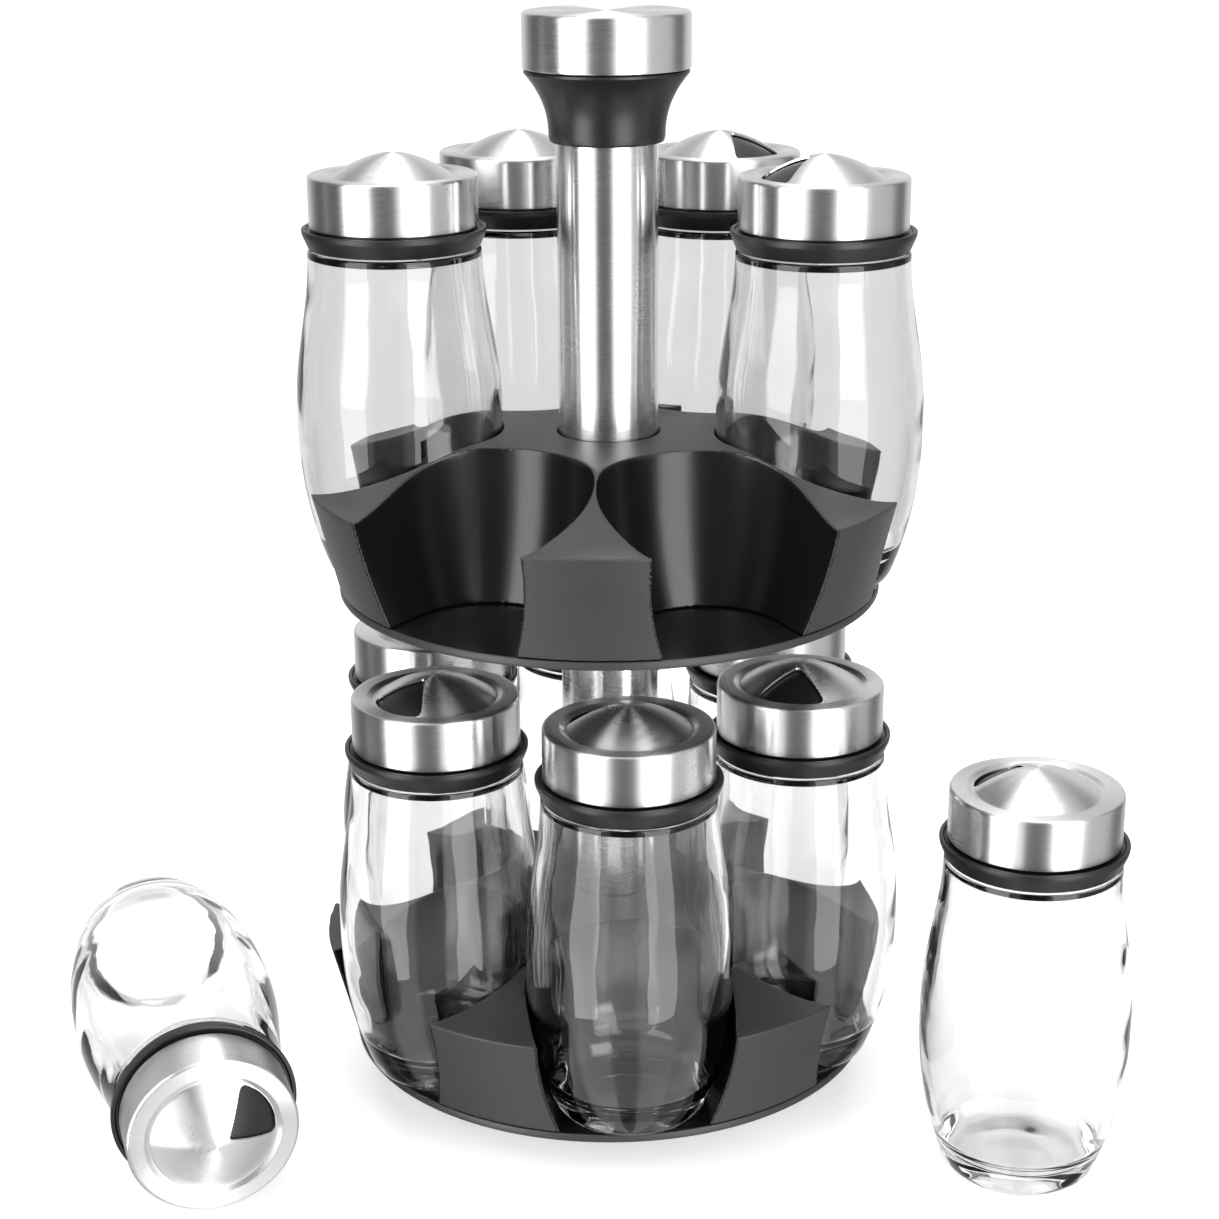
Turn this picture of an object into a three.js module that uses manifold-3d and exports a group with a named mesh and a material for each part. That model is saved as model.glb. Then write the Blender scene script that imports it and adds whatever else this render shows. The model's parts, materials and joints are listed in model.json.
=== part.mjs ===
// A two-tier revolving spice carousel: a turntable foot, two star-shaped plastic tiers with six pockets
// each, a steel post in two lengths with a knob on top, and twelve glass shaker jars. Ten jars stand in
// their pockets; one stands and one lies beside the foot. Millimetres, +Z up, origin on the underside of
// the anti-slip pad, on the axis the carousel turns about. -Y is the front.
import * as THREE from 'three';
import { mergeVertices } from 'three/addons/utils/BufferGeometryUtils.js';
import Module from 'manifold-3d';

const wasm = await Module();
wasm.setup();

// ---- driving dimensions -------------------------------------------------------------------------
const GAP = 0.3; // between pieces that touch
const POCKETS = 6;
const POCKET_CIRCLE = 50.5; // radius of the circle the jars stand on
const TIER_FOOT = [14.7, 132.7]; // height of the jars' feet on the lower and the upper tier
const TIER_TURN = [4.9, 26]; // degrees from the front to the first pocket of each tier
const FLOOR_RADIUS = 65.9;
const FLOOR_THICKNESS = 2.1;
const STAR_HUB_HEIGHT = 35.8; // top of the hub, above the jars' feet
const STAR_TIP_HEIGHT = 25.3; // top edge of a fin's end
const STAR_TOP_RADIUS = 72.5;
const HUB_FLAT_RADIUS = 34; // within it the star's top is flat; from it the fins sweep down
const TOP_STEPS = 6; // straight stretches in the profile of that sweep
const STAR_FOOT_RADIUS = 66.0;
const POST_RADIUS = 11.9;
const POST_WALL = 1.2;
const KNOB_FOOT = 237.3; // underside of the knob's collar
const KNOB_SHOULDER = 254.0; // where the steel cap sits on the collar
const KNOB_TOP = 266.8;
const KNOB_RADIUS = 19.5;
const KNOB_NECK_RADIUS = 13.6; // of the collar, just above its rounded lower edge

const JAR_SIDES = 12; // facets round a jar
const ROUND_SIDES = 20; // facets round the post, knob and small round parts
const DISC_SIDES = 42; // facets round a tier
const JAR_RADIUS = 24.7;
const JAR_FOOT_RADIUS = 17.3;
const JAR_WAIST = [38, 42]; // heights between which a jar is widest
const SHOULDER_RADIUS = 20.6;
const SHOULDER_HEIGHT = 79.6;
const NECK_RADIUS = 17.2;
const NECK_TOP = 91.0;
const GLASS_WALL = 2.0;
const GLASS_BASE = 4.5;
const COLLAR_HEIGHT = 79.9; // underside of the black collar
const COLLAR_LIP_RADIUS = 21.9;
const COLLAR_LIP_HEIGHT = 84.6;
const COLLAR_BORE_RADIUS = 17.95; // wide enough for the neck to turn inside its facets
const COLLAR_PLUG_RADIUS = 18.5;
const SIFTER_EDGE_HEIGHT = 94.4; // top of the sifter plate at its edge
const SIFTER_WALL = 1.2;
const LID_RADIUS = 20.0;
const LID_FOOT = COLLAR_LIP_HEIGHT + GAP;
const LID_RIM = 97.0;
const LID_APEX = 101.9;
const LID_WALL = 0.7;
const LID_STEP_RADIUS = 15.6; // where the flat rim steps down to the raised dome
const LID_STEP_DROP = 0.8;
const DOME_POWER = 1.8; // of a dome's profile: 1 is a cone and 2 a parabola
const DOME_STEPS = 3;
const SIFTER_DOME_RADIUS = 16;
const SIFTER_DOME_RISE = 5.2;
const LID_OPENING = { near: 3, far: 14.6, span: 70 }; // radii, and the angle it takes up at its edge
const POURING_SLOT = { near: 5, far: 13, span: 56, toward: -120 };
const SPRINKLER = { radius: 1.4, circle: 9.5, at: [90, 120, 150] }; // the sifter's holes
const OPENING_CORNER = 1.6; // cut off the outer corners of both wedges
const POCKET_CLEARANCE = 0.3; // round a jar in its pocket
const POCKET_TAPER = 1.9; // a pocket's side comes in this much at the top corner of a fin's end

// ---- materials ----------------------------------------------------------------------------------
const material = (color, roughness, metalness, opacity = 1) =>
  new THREE.MeshStandardMaterial({ color, roughness, metalness, opacity, transparent: opacity < 1 });
const blackPlastic = material(0x2b2b2d, 0.4, 0);
const sifterPlastic = material(0x1d1d1f, 0.35, 0);
const steel = material(0xc4c5c6, 0.3, 1);
const zincSteel = material(0x9a9c9e, 0.45, 1);
const nylon = material(0xd8d6cf, 0.5, 0);
const rubber = material(0x1a1a1a, 0.9, 0);
const glass = material(0xe8eeee, 0.05, 0, 0.35);

// ---- solids -------------------------------------------------------------------------------------
function solid(geometry) {
  const bare = geometry.index ? geometry.toNonIndexed() : geometry.clone();
  bare.deleteAttribute('normal');
  bare.deleteAttribute('uv');
  const merged = mergeVertices(bare, 1e-4);
  return new wasm.Manifold(new wasm.Mesh({
    numProp: 3,
    vertProperties: new Float32Array(merged.attributes.position.array),
    triVerts: new Uint32Array(merged.index.array),
  }));
}

function geometryOf(manifold) {
  const mesh = manifold.getMesh();
  const geometry = new THREE.BufferGeometry();
  geometry.setAttribute('position', new THREE.BufferAttribute(new Float32Array(mesh.vertProperties), 3));
  geometry.setIndex(new THREE.BufferAttribute(new Uint32Array(mesh.triVerts), 1));
  return geometry;
}

// A closed outline of [radius, height] points, counter-clockwise, turned about Z. turn is where the
// first facet corner lies, in radians from +X.
function revolve(points, sides, turn = 0) {
  const outline = points.map(([radius, height]) => new THREE.Vector2(radius, height));
  if (points[0][0] !== 0 || points.at(-1)[0] !== 0) outline.push(outline[0].clone());
  const geometry = new THREE.LatheGeometry(outline, sides);
  geometry.rotateX(Math.PI / 2);
  geometry.rotateZ(turn - Math.PI / 2);
  return solid(geometry);
}

const cylinder = (radius, low, high, sides = ROUND_SIDES) =>
  revolve([[0, low], [radius, low], [radius, high], [0, high]], sides);

const tube = (outer, inner, low, high, sides = ROUND_SIDES) =>
  revolve([[inner, low], [outer, low], [outer, high], [inner, high]], sides);

const cutFrom = (body, ...tools) => tools.reduce((rest, tool) => rest.subtract(tool), body);

// ---- one jar ------------------------------------------------------------------------------------
// Outer radius of the glass at a height above its foot: a rounded lower body, and a shoulder that
// draws in along half a cosine wave.
function jarRadius(height) {
  const [low, high] = JAR_WAIST;
  if (height < low) {
    const drop = (low - height) / low;
    return JAR_RADIUS - (JAR_RADIUS - JAR_FOOT_RADIUS) * drop ** 2.2;
  }
  if (height < high) return JAR_RADIUS;
  const rise = (height - high) / (SHOULDER_HEIGHT - high);
  return JAR_RADIUS - ((JAR_RADIUS - SHOULDER_RADIUS) * (1 - Math.cos(Math.PI * rise))) / 2;
}

const LOWER_HEIGHTS = [0, 7, 19, 38];
const jarWall = (heights, inset = 0) => heights.map((height) => [jarRadius(height) - inset, height]);

function jarGlass() {
  const inside = jarWall([62, 42, 30, 14], GLASS_WALL);
  return revolve([
    [0, 0],
    ...jarWall([...LOWER_HEIGHTS, 62, SHOULDER_HEIGHT]),
    [NECK_RADIUS, SHOULDER_HEIGHT],
    [NECK_RADIUS, NECK_TOP],
    [NECK_RADIUS - GLASS_WALL, NECK_TOP],
    [NECK_RADIUS - GLASS_WALL, SHOULDER_HEIGHT],
    ...inside,
    [inside.at(-1)[0] - 4, GLASS_BASE],
    [0, GLASS_BASE],
  ], JAR_SIDES, Math.PI / 2);
}

// A wedge-shaped cutter: from its point, at radius near, out to an arc at radius far, span degrees wide
// there, centred on the direction toward (degrees from +X).
function wedge({ near, far, span, toward = 0 }, low, high) {
  const half = THREE.MathUtils.degToRad(span / 2);
  const middle = THREE.MathUtils.degToRad(toward);
  const corner = OPENING_CORNER / far;
  const at = (radius, angle) => new THREE.Vector2(radius * Math.cos(angle), radius * Math.sin(angle));
  const outline = new THREE.Shape([
    at(near, middle),
    at(far - OPENING_CORNER, middle - half),
    at(far, middle - half + corner),
    at(far, middle),
    at(far, middle + half - corner),
    at(far - OPENING_CORNER, middle + half),
  ]);
  const geometry = new THREE.ExtrudeGeometry(outline, { depth: high - low, bevelEnabled: false });
  return solid(geometry).translate(0, 0, low);
}

const LID_DOME_EDGE = LID_RIM - LID_STEP_DROP;
const LID_INNER_RADIUS = LID_RADIUS - LID_WALL;

// The profile of a shallow dome, from its apex on the axis out to its edge.
const dome = (radius, edge, rise) => Array.from({ length: DOME_STEPS + 1 }, (_, step) => {
  const out = step / DOME_STEPS;
  return [radius * out, edge + rise * (1 - out ** DOME_POWER)];
});

// The black collar round the neck, with the domed sifter plate across its top: three sprinkling holes
// and a pouring slot, a third of a turn either side of a blank sector.
function sifterCollar() {
  const plateFoot = SIFTER_EDGE_HEIGHT - SIFTER_WALL;
  const body = revolve([
    ...dome(SIFTER_DOME_RADIUS, plateFoot, SIFTER_DOME_RISE),
    [COLLAR_BORE_RADIUS, plateFoot],
    [COLLAR_BORE_RADIUS, COLLAR_HEIGHT],
    [SHOULDER_RADIUS - 0.3, COLLAR_HEIGHT],
    [COLLAR_LIP_RADIUS, COLLAR_LIP_HEIGHT],
    [COLLAR_PLUG_RADIUS, COLLAR_LIP_HEIGHT],
    [COLLAR_PLUG_RADIUS, SIFTER_EDGE_HEIGHT],
    ...dome(SIFTER_DOME_RADIUS, SIFTER_EDGE_HEIGHT, SIFTER_DOME_RISE).reverse(),
  ], JAR_SIDES);
  const low = plateFoot - 1;
  const high = SIFTER_EDGE_HEIGHT + SIFTER_DOME_RISE + 1;
  const holes = SPRINKLER.at.map((angle) =>
    cylinder(SPRINKLER.radius, low, high, 6).translate(SPRINKLER.circle, 0, 0).rotate(0, 0, angle));
  return cutFrom(body, wedge(POURING_SLOT, low, high), ...holes);
}

// The steel shaker lid: a straight skirt, a flat rim, a step, and a low dome with one wedge-shaped
// opening.
function shakerLid() {
  const rise = LID_APEX - LID_DOME_EDGE;
  const body = revolve([
    ...dome(LID_STEP_RADIUS - 0.7, LID_DOME_EDGE - LID_WALL, rise),
    [LID_INNER_RADIUS, LID_DOME_EDGE - LID_WALL],
    [LID_INNER_RADIUS, LID_FOOT],
    [LID_RADIUS, LID_FOOT],
    [LID_RADIUS, LID_RIM],
    [LID_STEP_RADIUS, LID_RIM],
    ...dome(LID_STEP_RADIUS - 0.3, LID_DOME_EDGE, rise).reverse(),
  ], JAR_SIDES);
  return cutFrom(body, wedge(LID_OPENING, LID_DOME_EDGE - 3, LID_APEX + 1));
}

// ---- the tiers ----------------------------------------------------------------------------------
// One pocket, at the origin and opening towards +X: the lower part of a jar with clearance round it,
// drawn out into a trough whose sides curve in a little towards its mouth.
function pocketCutter() {
  const reach = STAR_TOP_RADIUS + 4 - POCKET_CIRCLE;
  const tall = STAR_HUB_HEIGHT + 3;
  const profile = [
    ...jarWall(LOWER_HEIGHTS.slice(0, -1), -POCKET_CLEARANCE),
    [JAR_RADIUS + POCKET_CLEARANCE, JAR_WAIST[0] - 4],
    [JAR_RADIUS + POCKET_CLEARANCE, tall],
  ];
  profile[0] = [profile[0][0], -1];
  const round = revolve([[0, -1], ...profile, [0, tall]], JAR_SIDES, Math.PI / 2);
  const section = new THREE.Shape();
  profile.forEach(([radius, height], index) =>
    index ? section.lineTo(-radius, height) : section.moveTo(-radius, height));
  [...profile].reverse().forEach(([radius, height]) => section.lineTo(radius, height));
  const geometry = new THREE.ExtrudeGeometry(section, { depth: reach, steps: 4, bevelEnabled: false });
  const position = geometry.attributes.position;
  const finEnd = STAR_TOP_RADIUS - POCKET_CIRCLE;
  for (let i = 0; i < position.count; i += 1) {
    const height = Math.max(position.getY(i), 0);
    const taper = (POCKET_TAPER * (position.getZ(i) / finEnd) ** 2 * height) / STAR_TIP_HEIGHT;
    position.setX(i, position.getX(i) - Math.sign(position.getX(i)) * taper);
  }
  geometry.rotateX(Math.PI / 2);
  geometry.rotateZ(Math.PI / 2);
  return round.add(solid(geometry));
}

const azimuthOf = (tier, index) => TIER_TURN[tier] + (360 / POCKETS) * index;

// Degrees anticlockwise from +X of a direction given in degrees from the front towards +X.
const bearing = (azimuth) => azimuth - 90;

const HUB_SOCKET_DEPTH = 6;
const SOCKET_RADIUS = POST_RADIUS + 0.45;
const ROD_RADIUS = 3;
const ROD_HOLE_RADIUS = 3.4;
const BUSH_RADIUS = 9;
const BUSH_HOLE_RADIUS = 9.5;

// The profile of the star's top, a smooth step from the fins' ends up to the edge of the flat hub.
const starTop = Array.from({ length: TOP_STEPS + 1 }, (_, step) => [
  THREE.MathUtils.lerp(STAR_TOP_RADIUS, HUB_FLAT_RADIUS, step / TOP_STEPS),
  THREE.MathUtils.lerp(STAR_TIP_HEIGHT, STAR_HUB_HEIGHT, THREE.MathUtils.smoothstep(step, 0, TOP_STEPS)),
]);

// The star: a swept top with a flat hub, a socket for the post, and the pockets cut round it.
function star(tier, holeRadius) {
  const body = revolve([
    [holeRadius, 0],
    [STAR_FOOT_RADIUS, 0],
    ...starTop,
    [SOCKET_RADIUS, STAR_HUB_HEIGHT],
    [SOCKET_RADIUS, STAR_HUB_HEIGHT - HUB_SOCKET_DEPTH],
    [holeRadius, STAR_HUB_HEIGHT - HUB_SOCKET_DEPTH],
  ], DISC_SIDES);
  const pocket = pocketCutter().translate(POCKET_CIRCLE, 0, 0);
  const pockets = Array.from({ length: POCKETS }, (_, index) =>
    pocket.rotate(0, 0, bearing(azimuthOf(tier, index))));
  return cutFrom(body, ...pockets).translate(0, 0, TIER_FOOT[tier]);
}

const tierFloor = (tier, holeRadius) =>
  tube(FLOOR_RADIUS, holeRadius, TIER_FOOT[tier] - GAP - FLOOR_THICKNESS, TIER_FOOT[tier] - GAP, DISC_SIDES);

// ---- the turntable foot -------------------------------------------------------------------------
const BASE_RADIUS = 44;
const PAD_THICKNESS = 1.5;
const LOWER_FLOOR_UNDERSIDE = TIER_FOOT[0] - GAP - FLOOR_THICKNESS;
const BALL_RADIUS = 2;
const BALLS = 6;
const RACE_RADIUS = 36;
const CAGE_REACH = 3; // of the flat cage, either side of the balls' circle
const CAGE_THICKNESS = 1;
const WEB_THICKNESS = 2.4;
const BALL_HEIGHT = LOWER_FLOOR_UNDERSIDE - GAP - BALL_RADIUS;
const RACE_TOP = BALL_HEIGHT - BALL_RADIUS - GAP;
const NUT_WELL_RADIUS = 9;
const BOSS_TOP = LOWER_FLOOR_UNDERSIDE - GAP;
const BOSS_FOOT = 6.2; // top of the nut well, under the boss

// A dished plate with a raised ball track and a centre boss, and a well under the boss for the nut.
function basePlate() {
  const foot = PAD_THICKNESS + GAP;
  const web = foot + WEB_THICKNESS;
  return revolve([
    [NUT_WELL_RADIUS, foot],
    [BASE_RADIUS, foot],
    [BASE_RADIUS, RACE_TOP - 1],
    [BASE_RADIUS - 1, RACE_TOP],
    [RACE_RADIUS - CAGE_REACH - 1, RACE_TOP],
    [RACE_RADIUS - CAGE_REACH - 3, web],
    [NUT_WELL_RADIUS + 4, web],
    [NUT_WELL_RADIUS + 2, BOSS_TOP],
    [ROD_HOLE_RADIUS, BOSS_TOP],
    [ROD_HOLE_RADIUS, BOSS_FOOT],
    [NUT_WELL_RADIUS, BOSS_FOOT],
  ], ROUND_SIDES);
}

// The thrust bearing's balls, joined to their flat cage.
function ballRace() {
  const half = CAGE_THICKNESS / 2;
  const cage = tube(RACE_RADIUS + CAGE_REACH, RACE_RADIUS - CAGE_REACH, BALL_HEIGHT - half, BALL_HEIGHT + half);
  const ball = solid(new THREE.SphereGeometry(BALL_RADIUS, 8, 4).rotateX(Math.PI / 2));
  const balls = Array.from({ length: BALLS }, (_, index) =>
    ball.translate(RACE_RADIUS, 0, BALL_HEIGHT).rotate(0, 0, (360 / BALLS) * index));
  return balls.reduce((whole, each) => whole.add(each), cage);
}

const NUT_FOOT = PAD_THICKNESS + GAP + 0.2;
const NUT_HEIGHT = 2.4;
const NUT_CORNER_RADIUS = 5.6;
const WASHER_RADIUS = 7.5;
const WASHER_FOOT = NUT_FOOT + NUT_HEIGHT + GAP;
const WASHER_THICKNESS = BOSS_FOOT - GAP - WASHER_FOOT;

// ---- the post and knob --------------------------------------------------------------------------
const LOWER_HUB_SEAT = TIER_FOOT[0] + STAR_HUB_HEIGHT - HUB_SOCKET_DEPTH;
const UPPER_HUB_SEAT = TIER_FOOT[1] + STAR_HUB_HEIGHT - HUB_SOCKET_DEPTH;
const UPPER_FLOOR_UNDERSIDE = TIER_FOOT[1] - GAP - FLOOR_THICKNESS;
const FLANGE_THICKNESS = 1.6;
const BUSH_FOOT = UPPER_FLOOR_UNDERSIDE - GAP - FLANGE_THICKNESS;
const COLLAR_SOCKET_TOP = KNOB_FOOT + 5;
const CAP_WALL = 1.2;
const FLANGE_RADIUS = POST_RADIUS + 1.2;
const ROD_TOP = KNOB_FOOT + 11;
const PLUG_RADIUS = KNOB_RADIUS - 2.4; // of the collar's plug inside the steel cap
const PLUG_TOP = KNOB_TOP - 3.6;

// The flanged bush the upper tier turns on. It stands on the lower tube and carries the upper one.
const tierBush = () => revolve([
  [ROD_HOLE_RADIUS, BUSH_FOOT],
  [FLANGE_RADIUS, BUSH_FOOT],
  [FLANGE_RADIUS, BUSH_FOOT + FLANGE_THICKNESS],
  [BUSH_RADIUS, BUSH_FOOT + FLANGE_THICKNESS],
  [BUSH_RADIUS, UPPER_HUB_SEAT],
  [ROD_HOLE_RADIUS, UPPER_HUB_SEAT],
], ROUND_SIDES);

// The knob's black collar: a rounded lower edge, a concave flare and a plug that the steel cap covers.
function knobCollar() {
  const socket = POST_RADIUS + GAP;
  const neck = KNOB_FOOT + 1.5;
  const brim = KNOB_RADIUS - 0.3;
  const flare = [0, 0.35, 0.7, 1].map((part) => [
    KNOB_NECK_RADIUS + (brim - KNOB_NECK_RADIUS) * part ** 2.2,
    neck + (KNOB_SHOULDER - 1 - neck) * part,
  ]);
  return revolve([
    [0, ROD_TOP + 1],
    [ROD_HOLE_RADIUS, ROD_TOP + 1],
    [ROD_HOLE_RADIUS, COLLAR_SOCKET_TOP],
    [socket, COLLAR_SOCKET_TOP],
    [socket, KNOB_FOOT],
    [KNOB_NECK_RADIUS - 0.5, KNOB_FOOT],
    ...flare,
    [brim, KNOB_SHOULDER - GAP],
    [PLUG_RADIUS, KNOB_SHOULDER - GAP],
    [PLUG_RADIUS, PLUG_TOP],
    [0, PLUG_TOP],
  ], ROUND_SIDES);
}

// The knob's flat-topped steel cap, a drawn cup.
const knobCap = () => revolve([
  [0, KNOB_TOP - CAP_WALL],
  [KNOB_RADIUS - CAP_WALL, KNOB_TOP - CAP_WALL],
  [KNOB_RADIUS - CAP_WALL, KNOB_SHOULDER],
  [KNOB_RADIUS, KNOB_SHOULDER],
  [KNOB_RADIUS, KNOB_TOP - 0.6],
  [KNOB_RADIUS - 0.6, KNOB_TOP],
  [0, KNOB_TOP],
], ROUND_SIDES);

// ---- the assembly -------------------------------------------------------------------------------
const carousel = new THREE.Group();

function piece(name, manifold, surface, parent = carousel) {
  const mesh = new THREE.Mesh(geometryOf(manifold), surface);
  mesh.name = name;
  parent.add(mesh);
  return mesh;
}

piece('anti_slip_pad', cylinder(BASE_RADIUS - 2, 0, PAD_THICKNESS), rubber);
piece('base_plate', basePlate(), blackPlastic);
piece('ball_race', ballRace(), nylon);
const nutHole = cylinder(ROD_HOLE_RADIUS, NUT_FOOT - 1, NUT_FOOT + NUT_HEIGHT + 1, 12);
const nut = cylinder(NUT_CORNER_RADIUS, NUT_FOOT, NUT_FOOT + NUT_HEIGHT, 6);
piece('rod_nut', cutFrom(nut, nutHole), zincSteel);
piece('rod_washer',
  tube(WASHER_RADIUS, ROD_HOLE_RADIUS, WASHER_FOOT, WASHER_FOOT + WASHER_THICKNESS, 16), zincSteel);
piece('tie_rod', cylinder(ROD_RADIUS, NUT_FOOT, ROD_TOP, 12), zincSteel);
piece('lower_tier_floor', tierFloor(0, ROD_HOLE_RADIUS), blackPlastic);
piece('lower_tier_star', star(0, ROD_HOLE_RADIUS), blackPlastic);
piece('lower_post_tube',
  tube(POST_RADIUS, POST_RADIUS - POST_WALL, LOWER_HUB_SEAT + GAP, BUSH_FOOT - GAP), steel);
piece('tier_bush', tierBush(), nylon);
piece('upper_tier_floor', tierFloor(1, BUSH_HOLE_RADIUS), blackPlastic);
piece('upper_tier_star', star(1, BUSH_HOLE_RADIUS), blackPlastic);
piece('upper_post_tube',
  tube(POST_RADIUS, POST_RADIUS - POST_WALL, UPPER_HUB_SEAT + GAP, COLLAR_SOCKET_TOP - GAP), steel);
piece('knob_collar', knobCollar(), blackPlastic);
piece('knob_cap', knobCap(), steel);

const glassSolid = jarGlass();
const collarSolid = sifterCollar();
const lidSolid = shakerLid();

// A jar's three pieces in a group of their own, turned as its pocket is. lidTurn is the bearing of the
// lid's opening, which lies over the sifter's blank sector.
function jar(name, lidTurn, pocketTurn = 0) {
  const group = new THREE.Group();
  group.name = `jar_${name}`;
  group.rotation.z = THREE.MathUtils.degToRad(pocketTurn);
  piece(`glass_${name}`, glassSolid, glass, group);
  piece(`sifter_${name}`, collarSolid.rotate(0, 0, lidTurn - pocketTurn), sifterPlastic, group);
  piece(`lid_${name}`, lidSolid.rotate(0, 0, lidTurn - pocketTurn), steel, group);
  carousel.add(group);
  return group;
}

// Jars in their pockets: tier, pocket, name and the bearing of the lid's opening.
const STANDING = [
  [0, 0, 'lower_front', 140],
  [0, 1, 'lower_front_right', -105],
  [0, 2, 'lower_back_right', 60],
  [0, 3, 'lower_back', 90],
  [0, 4, 'lower_back_left', 120],
  [0, 5, 'lower_front_left', 226],
  [1, 1, 'upper_right', 194],
  [1, 2, 'upper_back_right', -42],
  [1, 3, 'upper_back_left', 37],
  [1, 4, 'upper_left', 90],
];
for (const [tier, index, name, lidTurn] of STANDING) {
  const toward = bearing(azimuthOf(tier, index));
  const turn = THREE.MathUtils.degToRad(toward);
  jar(name, lidTurn, toward).position.set(
    POCKET_CIRCLE * Math.cos(turn), POCKET_CIRCLE * Math.sin(turn), TIER_FOOT[tier]);
}

// The two jars taken out of the front pockets of the upper tier.
const STANDING_LOOSE = [97.8, -53.3];
jar('standing_loose', 141).position.set(...STANDING_LOOSE, 0);

// The lying jar rests on its widest band and on its collar's lip, with its lid towards the front.
const LYING_FOOT = [-122.3, 15.4]; // point on the floor below the centre of its foot
const LYING_BEARING = -71.5; // degrees from +X in which its lid points
const lying = jar('lying_loose', 117);
const lean = Math.asin((JAR_RADIUS - COLLAR_LIP_RADIUS) / (COLLAR_LIP_HEIGHT - JAR_WAIST[1]));
lying.rotation.set(0, Math.PI / 2 + lean, THREE.MathUtils.degToRad(LYING_BEARING), 'ZYX');
lying.position.set(...LYING_FOOT, JAR_RADIUS * Math.cos(lean) + JAR_WAIST[1] * Math.sin(lean));

export default carousel;
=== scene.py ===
"""Looks for the two-tier spice carousel: finely turned glass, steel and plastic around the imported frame."""

import json
import math

import bpy
from mathutils import Matrix, Vector

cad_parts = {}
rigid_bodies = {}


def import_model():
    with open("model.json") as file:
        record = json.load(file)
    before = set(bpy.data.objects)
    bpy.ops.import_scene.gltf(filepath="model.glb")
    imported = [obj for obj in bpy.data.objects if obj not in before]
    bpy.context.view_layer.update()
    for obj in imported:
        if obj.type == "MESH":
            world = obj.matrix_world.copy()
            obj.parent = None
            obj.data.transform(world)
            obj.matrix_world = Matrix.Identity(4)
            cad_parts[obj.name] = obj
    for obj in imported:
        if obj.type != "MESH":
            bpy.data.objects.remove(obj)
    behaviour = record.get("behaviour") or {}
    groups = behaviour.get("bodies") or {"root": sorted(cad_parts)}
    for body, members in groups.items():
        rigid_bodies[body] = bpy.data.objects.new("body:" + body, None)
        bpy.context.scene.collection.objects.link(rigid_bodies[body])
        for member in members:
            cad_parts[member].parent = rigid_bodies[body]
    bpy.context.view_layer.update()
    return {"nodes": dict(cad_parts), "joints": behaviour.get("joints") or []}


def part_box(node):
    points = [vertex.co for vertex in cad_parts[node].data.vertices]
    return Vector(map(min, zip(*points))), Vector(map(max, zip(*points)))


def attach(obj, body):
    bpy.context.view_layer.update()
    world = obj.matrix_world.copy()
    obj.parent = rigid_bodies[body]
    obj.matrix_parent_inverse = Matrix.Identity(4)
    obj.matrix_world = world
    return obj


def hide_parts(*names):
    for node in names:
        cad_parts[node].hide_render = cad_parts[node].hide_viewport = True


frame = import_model()

# ---- driving dimensions, in millimetres, mostly the CAD's own ----------------------------------------
MM = 0.001
GAP = 0.3
POCKETS = 6
POCKET_CIRCLE = 50.5
POCKET_CLEARANCE = 0.3
POCKET_TAPER = 1.9
ROD_BORE_RADIUS = 3.4
BUSH_BORE_RADIUS = 9.5
TIER_HOLES = {"lower": ROD_BORE_RADIUS, "upper": BUSH_BORE_RADIUS}
TIER_TURNS = {"lower": 4.9, "upper": 26.0}  # degrees from the front to a tier's first pocket
STAR_HUB_HEIGHT = 35.8
STAR_TIP_HEIGHT = 25.3
STAR_TOP_RADIUS = 72.5
STAR_FOOT_RADIUS = 66.0
HUB_FLAT_RADIUS = 34.0
STAR_VOXEL = 0.35  # of the mesh that rounds its rims
STAR_THINNING = 0.18  # share of that mesh's faces kept
# Steep faces inside a pocket take a darker copy of the plastic, as painted shade.
STAR_UPRIGHT = 0.62  # a face's greatest slope, as its normal's Z, on a pocket's wall
POCKET_MARGIN = 0.7  # by which a point of a pocket's wall may lie outside its outline
SOCKET_DEPTH = 6.0
POST_RADIUS = 11.9
POST_WALL = 1.2
SOCKET_RADIUS = POST_RADIUS + 0.45
FLOOR_RADIUS = 65.9
KNOB_RADIUS = 19.5
KNOB_SKIRT_RADIUS = KNOB_RADIUS - 0.3
KNOB_NECK_RADIUS = 13.6
KNOB_FLARE_POWER = 2.2
KNOB_CAP_WALL = 1.2
KNOB_SOCKET_DEPTH = 5.0
KNOB_BORE_DEPTH = 12.0
JAR_RADIUS = 24.7
JAR_FOOT_RADIUS = 17.3
JAR_WAIST = (38.0, 42.0)  # heights between which a jar is widest
JAR_FOOT_POWER = 2.2  # of its profile below them
POCKET_WAIST = 36.0  # height up to which a pocket's wall follows the jar's shape
SHOULDER_RADIUS = 20.6
SHOULDER_HEIGHT = 79.6
NECK_RADIUS = 17.2
NECK_TOP = 91.0
GLASS_WALL = 2.0
GLASS_WALL_THINNING = 0.8  # towards the shoulder
GLASS_BASE = 4.5
GLASS_PUSH_UP = 0.7  # height of the hollow under the foot
HEEL_HEIGHT = 2.2  # at which the heel's rounding ends
SHOULDER_ROUNDING = 2.4  # below the shoulder
BASE_INSIDE_HEIGHT = 12.0  # at which the inside starts to round off into the base
BASE_SQUARENESS = 2.5  # of the inside of a jar's base: 2 is round
COLLAR_HEIGHT = 79.9
COLLAR_BORE_RADIUS = 17.6  # 17.95 in the CAD, where the bore has facets
COLLAR_LIP_RADIUS = 21.9
COLLAR_LIP_HEIGHT = 84.6
COLLAR_PLUG_RADIUS = 18.5
SIFTER_EDGE_HEIGHT = 94.4
SIFTER_WALL = 1.2
LID_RADIUS = 20.0
LID_FOOT = COLLAR_LIP_HEIGHT + GAP
LID_RIM = 97.0
LID_APEX = 101.9
LID_WALL = 0.5  # 0.7 in the CAD
LID_STEP_RADIUS = 15.6
LID_STEP_DROP = 0.8
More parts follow.
